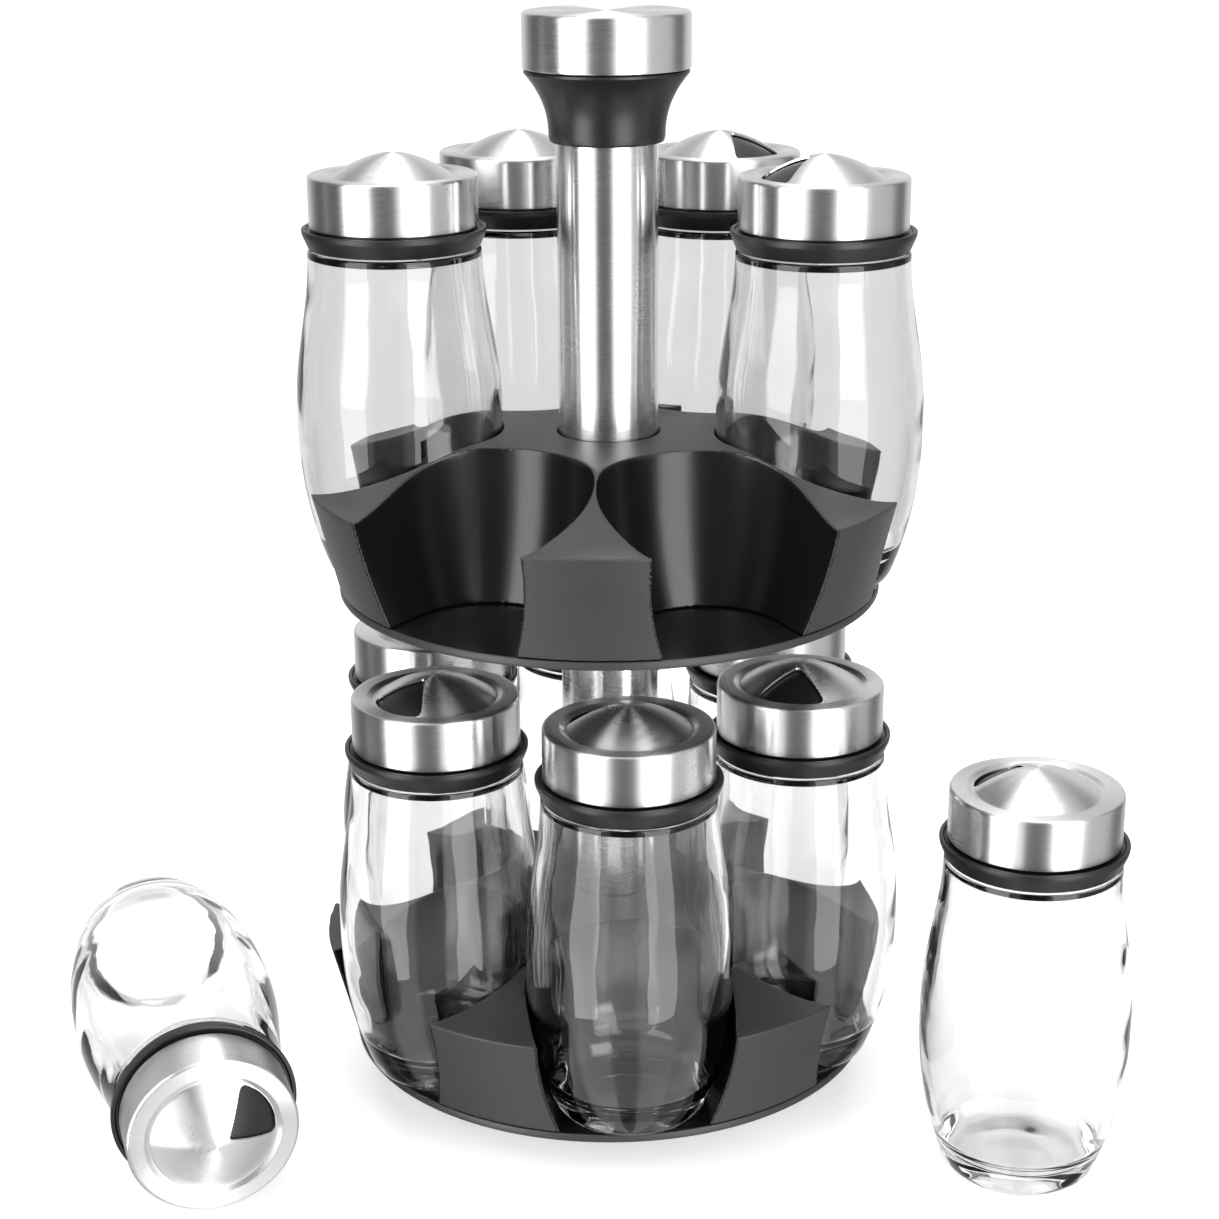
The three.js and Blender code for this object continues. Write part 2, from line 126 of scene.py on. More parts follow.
LID_OPENING_NEAR = 3.0
LID_OPENING_FAR = LID_STEP_RADIUS - 1.0
LID_OPENING_SPAN = 70  # degrees
DOME_POWER = 1.8  # of a dome's profile: 1 is a cone and 2 a parabola
SIFTER_DOME_RADIUS = 16.0
SIFTER_DOME_RISE = 6.6  # 5.2 in the CAD
SIFTER_SLOT_NEAR = 5.0
SIFTER_SLOT_FAR = 13.0
SIFTER_SLOT_SPAN = 56  # degrees
SIFTER_SLOT_TURN = -120  # degrees from the lid's opening
SIFTER_HOLE_RADIUS = 1.4
SIFTER_HOLE_CIRCLE = 9.5
SIFTER_HOLE_TURNS = (90, 120, 150)  # degrees from the lid's opening
LID_JOINT_HEIGHT = 90.0  # height in the jar of the lid joint's point

ROUND = 96  # facets round a turned piece
FINE_ROUND = 128  # round a lid, a tier floor, a post tube or the knob's cap
STAR_ROUND = 192

# Where each lid's opening points, in degrees anticlockwise from +X in the jar's own frame.
LID_OPENINGS = {
    "upper_left": 90,
    "upper_right": 194,
    "upper_back_left": 37,
    "upper_back_right": -42,
    "lower_front": 140,
    "lower_front_left": 226,
    "lower_front_right": -105,
    "lower_back_left": 120,
    "lower_back_right": 60,
    "lower_back": 90,
    "standing_loose": 141,
    "lying_loose": 117,
}


# ---- mesh helpers -----------------------------------------------------------------------------------
def mesh_object(name, vertices, faces, smooth_angle=30):
    """A new object from vertices in millimetres, shaded smooth except across sharp edges."""
    mesh = bpy.data.meshes.new(name)
    mesh.from_pydata([Vector(v) * MM for v in vertices], [], faces)
    mesh.validate()
    piece = bpy.data.objects.new(name, mesh)
    bpy.context.scene.collection.objects.link(piece)
    shade(piece, smooth_angle)
    return piece


def shade(piece, angle=30):
    piece.data.shade_smooth()
    piece.data.set_sharp_from_angle(angle=math.radians(angle))


def rounded(corners, steps=4):
    """An outline with its corners rounded. Each corner is (radius, height) or (radius, height, fillet)."""
    outline = []
    count = len(corners)
    for index, corner in enumerate(corners):
        here = Vector(corner[:2])
        fillet = corner[2] if len(corner) > 2 else 0
        if not fillet:
            outline.append(tuple(here))
            continue
        before = Vector(corners[index - 1][:2])
        after = Vector(corners[(index + 1) % count][:2])
        back = (before - here).normalized()
        on = (after - here).normalized()
        half = back.angle(on) / 2
        reach = fillet / math.tan(half)
        reach = min(reach, (before - here).length * 0.49, (after - here).length * 0.49)
        for step in range(steps + 1):
            t = step / steps
            point = here + back * reach * (1 - t) ** 2 + on * reach * t**2
            outline.append(tuple(point))
    return outline


def turned(name, outline, sides=ROUND, smooth_angle=30):
    """A closed outline of (radius, height) points, counter-clockwise, turned about Z."""
    closed = outline[0][0] > 1e-6 or outline[-1][0] > 1e-6
    vertices = []
    rings = []
    for radius, height in outline:
        if radius < 1e-6:
            rings.append([len(vertices)])
            vertices.append((0, 0, height))
            continue
        rings.append(list(range(len(vertices), len(vertices) + sides)))
        for side in range(sides):
            angle = 2 * math.pi * side / sides
            vertices.append((radius * math.cos(angle), radius * math.sin(angle), height))
    pairs = list(zip(rings, rings[1:]))
    if closed:
        pairs.append((rings[-1], rings[0]))
    faces = []
    for low, high in pairs:
        for side in range(sides):
            on = (side + 1) % sides
            if len(low) == 1 and len(high) == 1:
                continue
            if len(low) == 1:
                faces.append((low[0], high[on], high[side]))
            elif len(high) == 1:
                faces.append((low[side], low[on], high[0]))
            else:
                faces.append((low[side], low[on], high[on], high[side]))
    return mesh_object(name, vertices, faces, smooth_angle)


def lofted(name, rings, smooth_angle=30):
    """A closed body through rings of (x, y, z) points, each counter-clockwise, from the lowest up."""
    count = len(rings[0])
    vertices = [point for ring in rings for point in ring]
    faces = [tuple(reversed(range(count))), tuple(range(len(vertices) - count, len(vertices)))]
    for level in range(len(rings) - 1):
        start = level * count
        for index in range(count):
            on = (index + 1) % count
            faces.append((start + index, start + on, start + count + on, start + count + index))
    return mesh_object(name, vertices, faces, smooth_angle)


def prism(name, outline, low, high):
    """An upright prism over an outline of (x, y) points, counter-clockwise."""
    return lofted(name, [[(x, y, height) for x, y in outline] for height in (low, high)])


def cut(piece, tool):
    """Cuts the tool out of the piece and deletes the tool."""
    modifier = piece.modifiers.new("boolean", "BOOLEAN")
    modifier.operation = "DIFFERENCE"
    modifier.solver = "EXACT"
    modifier.object = tool
    apply_modifiers(piece)
    bpy.data.objects.remove(tool)


def apply_modifiers(piece):
    graph = bpy.context.evaluated_depsgraph_get()
    mesh = bpy.data.meshes.new_from_object(piece.evaluated_get(graph))
    piece.modifiers.clear()
    piece.data = mesh


# ---- material helpers -------------------------------------------------------------------------------
def new_material(name):
    material = bpy.data.materials.new(name)
    material.use_nodes = True
    nodes = material.node_tree.nodes
    return material, nodes, material.node_tree.links, nodes["Principled BSDF"]


def add_noise(nodes, links, vector, scale, detail=3.0, roughness=0.5):
    noise = nodes.new("ShaderNodeTexNoise")
    noise.inputs["Scale"].default_value = scale
    noise.inputs["Detail"].default_value = detail
    noise.inputs["Roughness"].default_value = roughness
    links.new(vector, noise.inputs["Vector"])
    return noise.outputs["Fac"]


def add_map(nodes, links, value, low, high, start=0.3, end=0.7):
    """The value, taken from start..end to low..high."""
    mapping = nodes.new("ShaderNodeMapRange")
    mapping.inputs["From Min"].default_value = start
    mapping.inputs["From Max"].default_value = end
    mapping.inputs["To Min"].default_value = low
    mapping.inputs["To Max"].default_value = high
    links.new(value, mapping.inputs["Value"])
    return mapping.outputs["Result"]


def add_ramp(nodes, links, value, low, high, start=0.0, end=1.0):
    """A blend from colour low, at start, to colour high, at end."""
    ramp = nodes.new("ShaderNodeValToRGB")
    first, last = ramp.color_ramp.elements
    first.position = start
    last.position = end
    first.color = (*low, 1)
    last.color = (*high, 1)
    links.new(value, ramp.inputs["Fac"])
    return ramp.outputs["Color"]


def add_bump(nodes, links, shader, height, distance):
    bump = nodes.new("ShaderNodeBump")
    bump.inputs["Distance"].default_value = distance
    bump.inputs["Strength"].default_value = 1.0
    links.new(height, bump.inputs["Height"])
    links.new(bump.outputs["Normal"], shader.inputs["Normal"])


def add_math(nodes, links, operation, first, second=None):
    node = nodes.new("ShaderNodeMath")
    node.operation = operation
    for socket, value in zip(node.inputs, (first, second)):
        if value is None:
            continue
        if isinstance(value, (int, float)):
            socket.default_value = value
        else:
            links.new(value, socket)
    return node.outputs[0]


def add_radius(nodes, links, x, y):
    """How far (x, y) is from the axis."""
    square = add_math(nodes, links, "ADD", add_math(nodes, links, "MULTIPLY", x, x),
                      add_math(nodes, links, "MULTIPLY", y, y))
    return add_math(nodes, links, "SQRT", square)


def object_coordinates(nodes):
    return nodes.new("ShaderNodeTexCoord").outputs["Object"]


BRUSH_AROUND = 3  # how quickly brush marks change along their length, per radian
BRUSH_ACROSS = 2500  # and across it, per metre


def brush_coordinates(nodes, links):
    """Coordinates for brushing that runs round the piece's own Z axis: coarse along the marks."""
    split = nodes.new("ShaderNodeSeparateXYZ")
    links.new(object_coordinates(nodes), split.inputs[0])
    x, y, z = split.outputs
    radius = add_radius(nodes, links, x, y)
    join = nodes.new("ShaderNodeCombineXYZ")
    links.new(add_math(nodes, links, "MULTIPLY", radius, BRUSH_ACROSS), join.inputs[0])
    angle = add_math(nodes, links, "ARCTAN2", y, x)
    links.new(add_math(nodes, links, "MULTIPLY", angle, BRUSH_AROUND), join.inputs[1])
    links.new(add_math(nodes, links, "MULTIPLY", z, BRUSH_ACROSS), join.inputs[2])
    return join.outputs[0]


# ---- materials --------------------------------------------------------------------------------------
def satin_plastic(name, shade_value, roughness, grain=0.00002):
    """Moulded black plastic: a fine grain, slow changes of gloss, and faint flow marks in its colour."""
    material, nodes, links, shader = new_material(name)
    shader.inputs["IOR"].default_value = 1.5
    coordinates = object_coordinates(nodes)
    slow = add_noise(nodes, links, coordinates, 35, 2)
    dark = shade_value * 0.86
    colour = add_ramp(nodes, links, slow, (dark, dark, dark * 1.03),
                      (shade_value, shade_value, shade_value * 1.03))
    links.new(colour, shader.inputs["Base Color"])
    gloss = add_map(nodes, links, slow, roughness * 0.9, roughness * 1.12)
    links.new(gloss, shader.inputs["Roughness"])
    fine = add_noise(nodes, links, coordinates, 2600, 2, 0.6)
    add_bump(nodes, links, shader, fine, grain)
    return material


def brushed_steel(name, value, roughness, anisotropy, depth=0.000002):
    """Stainless steel brushed round its axis."""
    material, nodes, links, shader = new_material(name)
    shader.inputs["Metallic"].default_value = 1.0
    shader.inputs["Anisotropic"].default_value = anisotropy
    shader.inputs["Anisotropic Rotation"].default_value = 0.25
    tangent = nodes.new("ShaderNodeTangent")
    tangent.direction_type = "RADIAL"
    tangent.axis = "Z"
    links.new(tangent.outputs["Tangent"], shader.inputs["Tangent"])
    marks = add_noise(nodes, links, brush_coordinates(nodes, links), 1.0, 4, 0.65)
    cloud = add_noise(nodes, links, object_coordinates(nodes), 60, 2)
    colour = add_ramp(nodes, links, marks, (value * 0.93, value * 0.93, value * 0.94),
                      (value, value, value * 1.005), 0.25, 0.75)
    links.new(colour, shader.inputs["Base Color"])
    mixed = add_math(nodes, links, "ADD", add_math(nodes, links, "MULTIPLY", marks, 0.6),
                     add_math(nodes, links, "MULTIPLY", cloud, 0.4))
    links.new(add_map(nodes, links, mixed, roughness * 0.75, roughness * 1.3), shader.inputs["Roughness"])
    add_bump(nodes, links, shader, marks, depth)
    return material


def clear_glass(name):
    """Pressed clear glass: very slightly wavy, with a faint cool tint."""
    material, nodes, links, shader = new_material(name)
    shader.inputs["Transmission Weight"].default_value = 1.0
    shader.inputs["IOR"].default_value = 1.5
    wave = add_noise(nodes, links, object_coordinates(nodes), 55, 1)
    colour = add_ramp(nodes, links, wave, (0.9, 0.905, 0.905), (0.92, 0.923, 0.923))
    links.new(colour, shader.inputs["Base Color"])
    links.new(add_map(nodes, links, wave, 0.0, 0.02), shader.inputs["Roughness"])
    add_bump(nodes, links, shader, wave, 0.0006)
    return material


def mottled(name, noise, dark, light, gloss, depth, metallic=0.0):
    """A plain material, mottled by noise of a (scale, detail) between two colours and two roughnesses."""
    material, nodes, links, shader = new_material(name)
    shader.inputs["Metallic"].default_value = metallic
    spots = add_noise(nodes, links, object_coordinates(nodes), *noise)
    links.new(add_ramp(nodes, links, spots, dark, light), shader.inputs["Base Color"])
    links.new(add_map(nodes, links, spots, *gloss), shader.inputs["Roughness"])
    add_bump(nodes, links, shader, spots, depth)
    return material


TIER_PLASTIC = satin_plastic("tier_plastic", 0.034, 0.42)
# The tier's black plastic made darker and glossier, for the pockets' walls and the floors' tops: its darker
# colour is painted shade in the pockets.
POCKET_PAINTED_SHADE_PLASTIC = satin_plastic("pocket_painted_shade_plastic", 0.006, 0.2, 0.00001)
COLLAR_PLASTIC = satin_plastic("collar_plastic", 0.008, 0.32)
SIFTER_PLASTIC = satin_plastic("sifter_plastic", 0.009, 0.36)
LID_STEEL = brushed_steel("lid_steel", 0.8, 0.3, 0.96, 0.0000012)
POST_STEEL = brushed_steel("post_steel", 0.78, 0.24, 0.85)
CAP_STEEL = brushed_steel("cap_steel", 0.8, 0.27, 0.9)
ZINC = mottled("zinc", (900, 4), (0.42, 0.43, 0.45), (0.62, 0.63, 0.64), (0.35, 0.55), 0.00002, 1.0)
NYLON = mottled("nylon", (120, 3), (0.66, 0.64, 0.58), (0.75, 0.73, 0.68), (0.4, 0.5), 0.00003)
RUBBER = mottled("rubber", (1500, 3), (0.012,) * 3, (0.025,) * 3, (0.75, 0.95), 0.00006)
GLASS = clear_glass("jar_glass")


def finish_piece(piece, body, material, slot, *nodes):
    """Gives a piece its material, unless it has one, and its body, and hides the CAD nodes it stands for. The
    slot is not used.
    """
    if material:
        piece.data.materials.clear()
        piece.data.materials.append(material)
    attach(piece, body)
    if nodes:
        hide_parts(*nodes)


# ---- jars -------------------------------------------------------------------------------------------
def jar_radius(height):
    low, high = JAR_WAIST
    if height < low:
        drop = (low - height) / low
        return JAR_RADIUS - (JAR_RADIUS - JAR_FOOT_RADIUS) * drop**JAR_FOOT_POWER
    if height < high:
        return JAR_RADIUS
    rise = (height - high) / (SHOULDER_HEIGHT - high)
    return JAR_RADIUS - (JAR_RADIUS - SHOULDER_RADIUS) * (1 - math.cos(math.pi * rise)) / 2


def steps_between(low, high, count):
    return [low + (high - low) * step / count for step in range(count + 1)]


def glass_mesh():
    """Thick-based glass with a pushed-up foot, a rounded heel and shoulder, and a plain neck."""
    outer_top = SHOULDER_HEIGHT - SHOULDER_ROUNDING
    outer = [(jar_radius(height), height) for height in steps_between(HEEL_HEIGHT, outer_top, 30)]
    inner = []
    for height in reversed(steps_between(BASE_INSIDE_HEIGHT, outer_top + 0.5, 26)):
        wall = GLASS_WALL - GLASS_WALL_THINNING * (height / SHOULDER_HEIGHT) ** 4
        inner.append((jar_radius(height) - wall, height))
    base_inside, base_top = inner[-1]
    outline = []
    for out in steps_between(0, 1, 12):
        outline.append(((JAR_FOOT_RADIUS - 3) * out, GLASS_PUSH_UP * (1 - out * out) ** 2))
    outline += rounded([outline[-1], (JAR_FOOT_RADIUS - 0.6, 0, 2.4), outer[0]], 6)[1:-1]
    outline += outer
    outline += rounded([
        outer[-1],
        (SHOULDER_RADIUS, SHOULDER_HEIGHT, 0.9),
        (NECK_RADIUS, SHOULDER_HEIGHT, 0.5),
        (NECK_RADIUS, NECK_TOP, 0.9),
        (NECK_RADIUS - GLASS_WALL, NECK_TOP, 0.9),
        (NECK_RADIUS - GLASS_WALL, SHOULDER_HEIGHT - 0.9, 1.2),
        inner[0],
    ], 5)[1:-1]
    outline += inner
    for turn in steps_between(0, 90, 18)[1:]:
        angle = math.radians(turn)
        out = base_inside * math.cos(angle) ** (2 / BASE_SQUARENESS)
        down = (base_top - GLASS_BASE) * math.sin(angle) ** (2 / BASE_SQUARENESS)
        outline.append((round(out, 6), base_top - down))
    return turned("jar_glass", outline, ROUND, 40).data


def wedge_outline(near, far, span, corner):
    """A wedge from a point on +X out to an arc, span degrees wide there, with its corners rounded."""
    half = math.radians(span / 2)
    arc = [(far * math.cos(a), far * math.sin(a)) for a in steps_between(-half, half, 12)]
    return rounded([(near, 0, corner * 0.6), (*arc[0], corner), *arc[3:-3], (*arc[-1], corner)], 5)


def dome(radius, edge, rise):
    """The profile of a shallow dome, from its apex on the axis out towards its edge, but short of it."""
    points = []
    for out in steps_between(0, 1, 24)[:-2]:
        points.append((radius * out, edge + rise * (1 - out**DOME_POWER)))
    return points


def lid_mesh():
    """A drawn steel lid: straight skirt with a hemmed foot, flat rim, step, low dome and one opening."""
    dome_edge = LID_RIM - LID_STEP_DROP
    top = dome(LID_STEP_RADIUS - 0.9, dome_edge, LID_APEX - dome_edge)
    under = [(radius, height - LID_WALL) for radius, height in top]
    outline = list(under)
    outline += rounded([
        under[-1],
        (LID_STEP_RADIUS - 1.4, dome_edge - LID_WALL, 0.4),
        (LID_STEP_RADIUS + 0.4, LID_RIM - LID_WALL, 0.4),
        (LID_RADIUS - LID_WALL, LID_RIM - LID_WALL, 0.8),
        (LID_RADIUS - LID_WALL, LID_FOOT, 0.2),
        (LID_RADIUS, LID_FOOT, 0.25),
        (LID_RADIUS, LID_RIM, 1.0),
        (LID_STEP_RADIUS + 0.4, LID_RIM, 0.7),
        (LID_STEP_RADIUS - 0.9, dome_edge, 0.5),
        top[-1],
    ], 5)[1:-1]
    outline += reversed(top)
    piece = turned("lid", outline, FINE_ROUND, 32)
    opening = wedge_outline(LID_OPENING_NEAR, LID_OPENING_FAR, LID_OPENING_SPAN, 1.7)
    cut(piece, prism("opening", opening, LID_RIM - 4, LID_APEX + 3))
    shade(piece, 32)
    return piece.data


def sifter_mesh():
    """The black collar with its flared lip, and the sifter plate with its holes and pouring slot."""
    plate_foot = SIFTER_EDGE_HEIGHT - SIFTER_WALL
    outline = rounded([
        *dome(SIFTER_DOME_RADIUS, plate_foot, SIFTER_DOME_RISE),
        (SIFTER_DOME_RADIUS, plate_foot),
        (COLLAR_BORE_RADIUS, plate_foot, 0.3),
        (COLLAR_BORE_RADIUS, COLLAR_HEIGHT, 0.3),
        (SHOULDER_RADIUS - 0.3, COLLAR_HEIGHT, 0.5),
        (COLLAR_LIP_RADIUS - 0.15, COLLAR_LIP_HEIGHT - 1.3, 1.0),
        (COLLAR_LIP_RADIUS, COLLAR_LIP_HEIGHT, 0.45),
        (COLLAR_LIP_RADIUS - 1.0, COLLAR_LIP_HEIGHT, 0.4),
        (COLLAR_LIP_RADIUS - 1.3, COLLAR_LIP_HEIGHT - 0.5, 0.2),
        (COLLAR_PLUG_RADIUS, COLLAR_LIP_HEIGHT - 0.5, 0.3),
        (COLLAR_PLUG_RADIUS, SIFTER_EDGE_HEIGHT, 0.5),
        (SIFTER_DOME_RADIUS, SIFTER_EDGE_HEIGHT),
        *reversed(dome(SIFTER_DOME_RADIUS, SIFTER_EDGE_HEIGHT, SIFTER_DOME_RISE)),
    ])
    piece = turned("sifter", outline, ROUND, 32)
    low = plate_foot - 2
    high = SIFTER_EDGE_HEIGHT + SIFTER_DOME_RISE + 2
    slot = prism("slot", wedge_outline(SIFTER_SLOT_NEAR, SIFTER_SLOT_FAR, SIFTER_SLOT_SPAN, 1.2), low, high)
    slot.data.transform(Matrix.Rotation(math.radians(SIFTER_SLOT_TURN), 4, "Z"))
    cut(piece, slot)
    radius = SIFTER_HOLE_RADIUS
    for angle in SIFTER_HOLE_TURNS:
        turn = math.radians(angle)
        hole = turned("hole", [(0, low), (radius, low), (radius, high), (0, high)], 20)
        place = Vector((math.cos(turn), math.sin(turn), 0)) * SIFTER_HOLE_CIRCLE * MM
        hole.data.transform(Matrix.Translation(place))
        cut(piece, hole)
    shade(piece, 32)
    return piece.data


def jar_places():
    """Each jar's frame at rest: its foot and axis, from the point and axis of its lid's joint."""
    places = {}
    for joint in frame["joints"]:
        if not joint["name"].endswith("_lid_turn"):
            continue
        name = joint["name"].removesuffix("_lid_turn")
        axis = Vector(joint["axis"]).normalized()
        foot = Vector(joint["pos_m"]) - axis * LID_JOINT_HEIGHT * MM
        across = Vector((0, 0, 1)).cross(axis)
        side = across.normalized() if across.length > 1e-6 else Vector((0, 1, 0))
        turn = Matrix((side.cross(axis), side, axis)).transposed()
        places[name] = Matrix.Translation(foot) @ turn.to_4x4()
    return places


def make_jars():
    glass = glass_mesh()
    sifter = sifter_mesh()
    lid = lid_mesh()
    for leftover in [o for o in bpy.context.scene.objects if o.name in ("jar_glass", "sifter", "lid")]:
        bpy.data.objects.remove(leftover)
    for name, place in jar_places().items():
        turn = Matrix.Rotation(math.radians(LID_OPENINGS[name]), 4, "Z")
        for kind, mesh, matrix, body, material, slot, node in (
            ("bottle", glass, place, "jar", GLASS, "glass", "glass"),
            ("sifter_ring", sifter, place @ turn, "cap", SIFTER_PLASTIC, "sifter_plastic", "sifter"),
            ("shaker_lid", lid, place @ turn, "lid", LID_STEEL, "steel", "lid"),
        ):
            piece = bpy.data.objects.new(f"{kind}_{name}", mesh.copy())
            bpy.context.scene.collection.objects.link(piece)
            piece.matrix_world = matrix
            finish_piece(piece, f"{body}_{name}", material, slot, f"{node}_{name}")


# ---- tiers ------------------------------------------------------------------------------------------
def pocket_half_width(out, height):
    """Half the pocket's width, out beyond the jar's centre, at a height above the jar's foot."""
    taper = POCKET_TAPER * (out / (STAR_TOP_RADIUS - POCKET_CIRCLE)) ** 2 * max(height, 0) / STAR_TIP_HEIGHT
    return jar_radius(min(max(height, 0), POCKET_WAIST)) + POCKET_CLEARANCE - taper


def pocket_tool():
    """A pocket, opening towards +X, as the CAD cuts it: the jar's own shape drawn out to the rim."""
    outs = steps_between(0, STAR_TOP_RADIUS + 4 - POCKET_CIRCLE, 12)[1:]
    rings = []
    for height in [-1, *steps_between(0, POCKET_WAIST, 24), STAR_HUB_HEIGHT + 3]:
        radius = pocket_half_width(0, height)
        ring = []
        for angle in steps_between(90, 270, 64):
            turn = math.radians(angle)
            ring.append((POCKET_CIRCLE + radius * math.cos(turn), radius * math.sin(turn), height))
        ring += [(POCKET_CIRCLE + out, -pocket_half_width(out, height), height) for out in outs]
        ring += [(POCKET_CIRCLE + out, pocket_half_width(out, height), height) for out in reversed(outs)]
        rings.append(ring)
    return lofted("pocket", rings)


def star_top():
    """The star's top from the fins' ends, by a smooth step, up to the flat hub."""
    points = []
    for part in steps_between(0, 1, 24):
        radius = STAR_TOP_RADIUS + (HUB_FLAT_RADIUS - STAR_TOP_RADIUS) * part
        rise = part * part * (3 - 2 * part)
        points.append((radius, STAR_TIP_HEIGHT + (STAR_HUB_HEIGHT - STAR_TIP_HEIGHT) * rise))
    return points


def in_pocket(point, turn):
    """Whether a point of a star, in its own frame and in millimetres, lies on the wall of a pocket."""
    for index in range(POCKETS):
        angle = math.radians(turn + 360 / POCKETS * index)
        along = point.x * math.cos(angle) + point.y * math.sin(angle) - POCKET_CIRCLE
        across = -point.x * math.sin(angle) + point.y * math.cos(angle)
        if along < 0:
            reach = math.hypot(along, across)
        else:
            reach = abs(across)
        if along > -JAR_RADIUS - 2 and reach < pocket_half_width(max(along, 0), point.z) + POCKET_MARGIN:
            return True
    return False


def star_piece(name, turn, foot, hole_radius):
    """The star, cut at full fineness, then remeshed and smoothed so that its rims are softly rounded."""
    seat = STAR_HUB_HEIGHT - SOCKET_DEPTH
    outline = [(hole_radius, 0), (STAR_FOOT_RADIUS, 0), *star_top(), (SOCKET_RADIUS, STAR_HUB_HEIGHT),
               (SOCKET_RADIUS, seat), (hole_radius, seat)]
    star = turned(name, outline, STAR_ROUND)
    tool = pocket_tool()
    for index in range(POCKETS):
        copy = bpy.data.objects.new("cut", tool.data.copy())
        bpy.context.scene.collection.objects.link(copy)
        copy.data.transform(Matrix.Rotation(math.radians(turn + 360 / POCKETS * index), 4, "Z"))
        cut(star, copy)
    bpy.data.objects.remove(tool)
    remesh = star.modifiers.new("remesh", "REMESH")
    remesh.mode = "VOXEL"
    remesh.voxel_size = STAR_VOXEL * MM
    smooth = star.modifiers.new("smooth", "SMOOTH")
    smooth.factor = 0.5
    smooth.iterations = 4
    thin = star.modifiers.new("thin", "DECIMATE")
    thin.ratio = STAR_THINNING
    apply_modifiers(star)
    star.data.materials.clear()
    star.data.materials.append(TIER_PLASTIC)
    star.data.materials.append(POCKET_PAINTED_SHADE_PLASTIC)
    # The pockets' steep walls take the darker copy of the plastic: painted shade.
    for face in star.data.polygons:
        centre = face.center / MM
        upright = abs(face.normal.z) < STAR_UPRIGHT
        face.material_index = 1 if upright and in_pocket(centre, turn) else 0
    star.data.transform(Matrix.Translation((0, 0, foot)))
    shade(star, 60)
    return star


def make_tiers():
    for tier, body in (("lower", "carousel"), ("upper", "upper_tier")):
        hole = TIER_HOLES[tier]
        star_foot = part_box(f"{tier}_tier_star")[0][2]
        star = star_piece(f"{tier}_star", TIER_TURNS[tier] - 90, star_foot, hole)
        finish_piece(star, body, None, "black_plastic", f"{tier}_tier_star")
        low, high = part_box(f"{tier}_tier_floor")
        foot, top = low[2] / MM, high[2] / MM
        floor = turned(f"{tier}_floor", rounded([
            (hole, foot, 0.2), (FLOOR_RADIUS, foot, 0.7), (FLOOR_RADIUS, top, 0.6), (hole, top, 0.2),
        ]), FINE_ROUND)
        finish_piece(floor, body, TIER_PLASTIC, "black_plastic", f"{tier}_tier_floor")
        # The floor's top faces, which are the pockets' floors, take the darker copy of the plastic: painted
        # shade under the jars.
        floor.data.materials.append(POCKET_PAINTED_SHADE_PLASTIC)
        for face in floor.data.polygons:
            face.material_index = 1 if face.normal.z > 0.9 else 0


# ---- post and knob ----------------------------------------------------------------------------------
def make_post():
    for tier in ("lower", "upper"):
        low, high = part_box(f"{tier}_post_tube")
        foot, top = low[2] / MM, high[2] / MM
        inner = POST_RADIUS - POST_WALL
        piece = turned(f"{tier}_tube", rounded([
            (inner, foot, 0.2), (POST_RADIUS, foot, 0.3), (POST_RADIUS, top, 0.3), (inner, top, 0.2),
        ]), FINE_ROUND)
        finish_piece(piece, "carousel", POST_STEEL, "steel", f"{tier}_post_tube")


def make_knob():
    foot, plug_top = (corner[2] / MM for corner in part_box("knob_collar"))
    shoulder, top = (corner[2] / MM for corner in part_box("knob_cap"))
    plug = KNOB_RADIUS - 2.4
    socket = POST_RADIUS + GAP
    flare = []
    for part in steps_between(0, 1, 16):
        radius = KNOB_NECK_RADIUS + (KNOB_SKIRT_RADIUS - KNOB_NECK_RADIUS) * part**KNOB_FLARE_POWER
        flare.append((radius, foot + 1.5 + (shoulder - foot - 2.5) * part))
    outline = rounded([
        (0, foot + KNOB_BORE_DEPTH), (ROD_BORE_RADIUS, foot + KNOB_BORE_DEPTH),
        (ROD_BORE_RADIUS, foot + KNOB_SOCKET_DEPTH), (socket, foot + KNOB_SOCKET_DEPTH, 0.3),
        (socket, foot, 0.3),
        (KNOB_NECK_RADIUS - 0.3, foot, 1.0), (KNOB_NECK_RADIUS, foot + 1.5)])
    outline += flare[1:]
    outline += rounded([flare[-1], (KNOB_SKIRT_RADIUS, shoulder - GAP, 0.3), (plug, shoulder - GAP),
                        (plug, plug_top, 0.5), (0, plug_top)])[1:]
    collar = turned("knob_neck", outline, ROUND, 35)
    finish_piece(collar, "carousel", COLLAR_PLASTIC, "black_plastic", "knob_collar")
    inner = KNOB_RADIUS - KNOB_CAP_WALL
    cap = turned("knob_top", rounded([
        (0, top - KNOB_CAP_WALL), (inner, top - KNOB_CAP_WALL, 0.6), (inner, shoulder, 0.2),
        (KNOB_RADIUS, shoulder, 0.3), (KNOB_RADIUS, top, 1.0), (0, top)]), FINE_ROUND, 32)
    finish_piece(cap, "carousel", CAP_STEEL, "steel", "knob_cap")


# ---- foot and hidden pieces -------------------------------------------------------------------------
def dress_hidden_pieces():
    for node, material in (("anti_slip_pad", RUBBER), ("base_plate", TIER_PLASTIC), ("ball_race", NYLON),
                           ("rod_nut", ZINC), ("rod_washer", ZINC), ("tie_rod", ZINC), ("tier_bush", NYLON)):
        piece = frame["nodes"][node]
        piece.data.materials.clear()
        piece.data.materials.append(material)


# ---- stage ------------------------------------------------------------------------------------------
CAMERA_BACK = 0.5555  # metres in front of the carousel's axis
CAMERA_HEIGHT = 0.3069  # metres
CAMERA_PITCH = 18.33  # degrees down
CAMERA_ROLL = -0.3  # degrees
CAMERA_LENS = 69.96  # millimetres, on a 36 mm sensor

LIGHT_AIM = 0.13  # metres above the floor, on the carousel's axis

